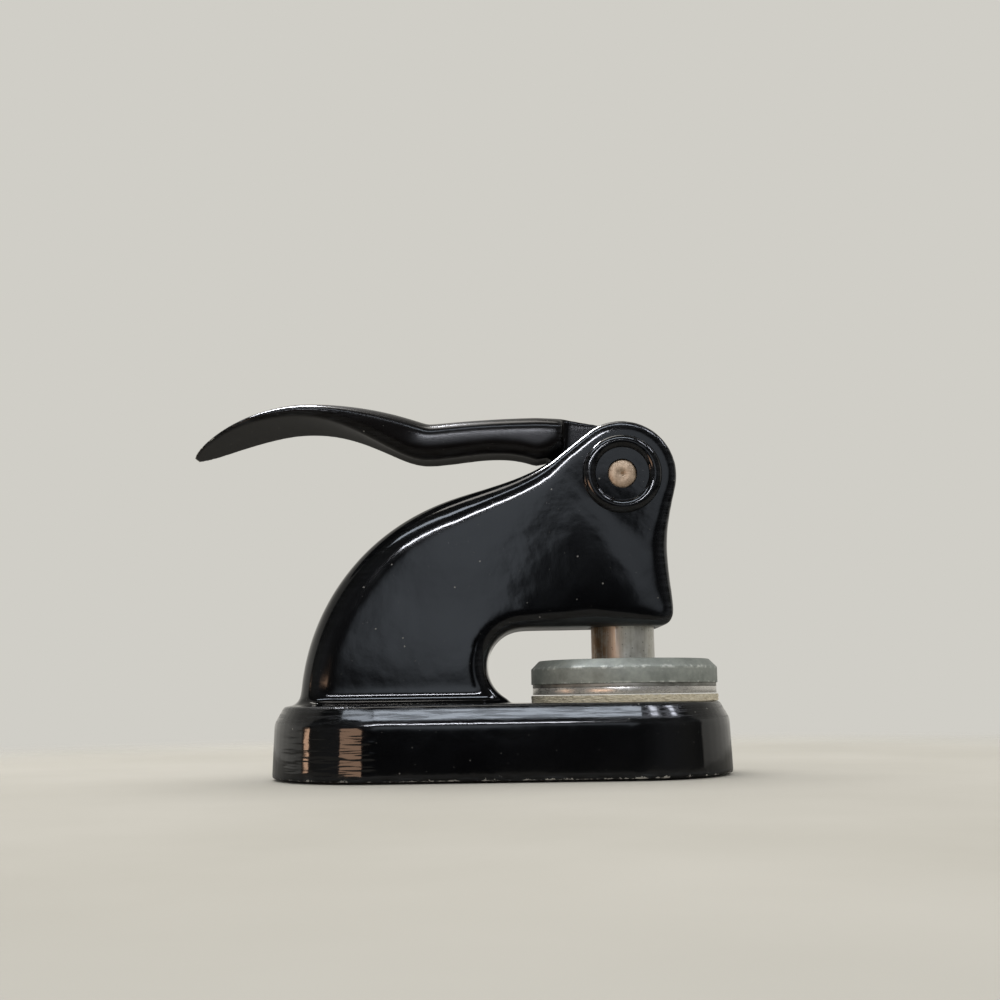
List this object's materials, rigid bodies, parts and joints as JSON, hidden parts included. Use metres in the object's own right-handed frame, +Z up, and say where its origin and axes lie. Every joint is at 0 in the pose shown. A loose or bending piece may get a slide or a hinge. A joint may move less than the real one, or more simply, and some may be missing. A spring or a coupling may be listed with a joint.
{
  "type": "seal embosser",
  "caption": "Desk seal embosser: cast frame on an oblong base, thumb lever on a clevis pin, and a ram with a round die over a counter board.",
  "frame": {"origin": "middle of the underside, on the surface the embosser stands on", "axes": "+X towards the die end, +Y across the base, +Z up"},
  "size_m": [0.1211, 0.049, 0.0843],
  "materials": {
    "enamel": "cast iron, stoved gloss black enamel",
    "enamel_lever": "cast iron, stoved gloss black enamel, lightly worn",
    "pin_steel": "turned steel, browned with age",
    "turned_steel": "turned steel",
    "ram_steel": "ground steel, part browned and pitted",
    "holder_zinc": "matte grey die cast metal",
    "backing_metal": "dull grey sheet metal",
    "die_metal": "turned bright metal",
    "fibre_board": "pressed fibre board with a rough cut edge",
    "pad_rubber": "thin moulded rubber sheet"
  },
  "bodies": {
    "frame": {"frame": "enamel", "lever_pin": "pin_steel", "lever_spacers": "turned_steel", "counter_board": "fibre_board", "counter_dowels": "turned_steel", "base_pad": "pad_rubber"},
    "lever": {"lever": "enamel_lever"},
    "ram": {"ram": "ram_steel", "ram_cross_pin": "turned_steel", "die_holder": "holder_zinc", "die_holder_screw": "turned_steel", "die_backing": "backing_metal", "die": "die_metal", "die_dowels": "turned_steel"}
  },
  "joints": [
    {"name": "lever_hinge", "type": "hinge", "parent": "frame", "child": "lever", "pos_m": [0.0275, 0, 0.0661], "axis": [0, 1, 0], "range_deg": [0, 50]},
    {"name": "ram_slide", "type": "slide", "parent": "frame", "child": "ram", "axis": [0, 0, 1], "range_m": [0, 0.0042]}
  ],
  "couplings": [
    {"joint": "ram_slide", "follows": "lever_hinge", "m_per_rad": 0.0048}
  ]
}
